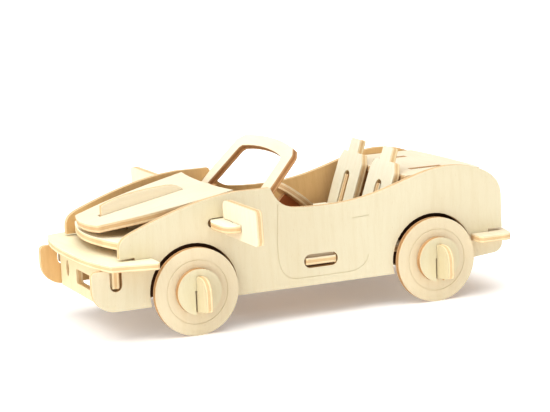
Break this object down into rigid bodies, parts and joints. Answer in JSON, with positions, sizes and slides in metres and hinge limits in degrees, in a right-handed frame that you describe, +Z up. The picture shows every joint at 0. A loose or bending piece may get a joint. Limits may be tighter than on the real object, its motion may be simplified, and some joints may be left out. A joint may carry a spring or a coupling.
{
  "type": "wooden model car puzzle",
  "caption": "Open two-seat model car of interlocking flat plywood plates: slotted side panels, hood, seats, leaning windscreen frame, mirrors and plywood wheels that turn on flat axles.",
  "frame": {"origin": "on the ground, under the middle of the car's length and between the side panels", "axes": "+X towards the front of the car, +Y towards its left side, +Z up"},
  "size_m": [0.2002, 0.1512, 0.0756],
  "materials": {
    "plywood_pale": "unfinished pale plywood, matt",
    "plywood_warm": "unfinished plywood, slightly warmer sheet, matt",
    "plywood_honey": "unfinished plywood, inner and edge-on pieces, matt"
  },
  "bodies": {
    "car": {"chassis_rail_left": "plywood_honey", "chassis_rail_right": "plywood_honey", "dashboard_plate": "plywood_honey", "floor_plate": "plywood_warm", "front_axle": "plywood_honey", "front_bumper": "plywood_pale", "grille_plate": "plywood_pale", "hood_plate": "plywood_pale", "hood_ridge": "plywood_honey", "hub_disc_front_left": "plywood_pale", "hub_disc_front_right": "plywood_pale", "hub_disc_rear_left": "plywood_pale", "hub_disc_rear_right": "plywood_pale", "lower_hood_plate": "plywood_pale", "mirror_arm_left": "plywood_honey", "mirror_arm_right": "plywood_honey", "mirror_plate_left": "plywood_warm", "mirror_plate_right": "plywood_warm", "rear_axle": "plywood_honey", "rear_bumper": "plywood_pale", "rear_deck": "plywood_pale", "rear_panel": "plywood_pale", "seat_back_left": "plywood_pale", "seat_back_right": "plywood_pale", "seat_cushion_left": "plywood_warm", "seat_cushion_right": "plywood_warm", "seat_support_left": "plywood_honey", "seat_support_right": "plywood_honey", "side_panel_left": "plywood_warm", "side_panel_right": "plywood_warm", "steering_column": "plywood_honey", "steering_wheel": "plywood_warm", "windscreen_frame": "plywood_pale"},
    "wheel_front_left_body": {"wheel_front_left": "plywood_warm"},
    "wheel_rear_left_body": {"wheel_rear_left": "plywood_warm"},
    "wheel_front_right_body": {"wheel_front_right": "plywood_warm"},
    "wheel_rear_right_body": {"wheel_rear_right": "plywood_warm"}
  },
  "joints": [
    {"name": "wheel_front_left_spin", "type": "hinge", "parent": "car", "child": "wheel_front_left_body", "pos_m": [0.05445, 0.039, 0.019], "axis": [0, 1, 0], "continuous": true},
    {"name": "wheel_rear_left_spin", "type": "hinge", "parent": "car", "child": "wheel_rear_left_body", "pos_m": [-0.06075, 0.039, 0.019], "axis": [0, 1, 0], "continuous": true},
    {"name": "wheel_front_right_spin", "type": "hinge", "parent": "car", "child": "wheel_front_right_body", "pos_m": [0.05445, -0.039, 0.019], "axis": [0, 1, 0], "continuous": true},
    {"name": "wheel_rear_right_spin", "type": "hinge", "parent": "car", "child": "wheel_rear_right_body", "pos_m": [-0.06075, -0.039, 0.019], "axis": [0, 1, 0], "continuous": true}
  ]
}
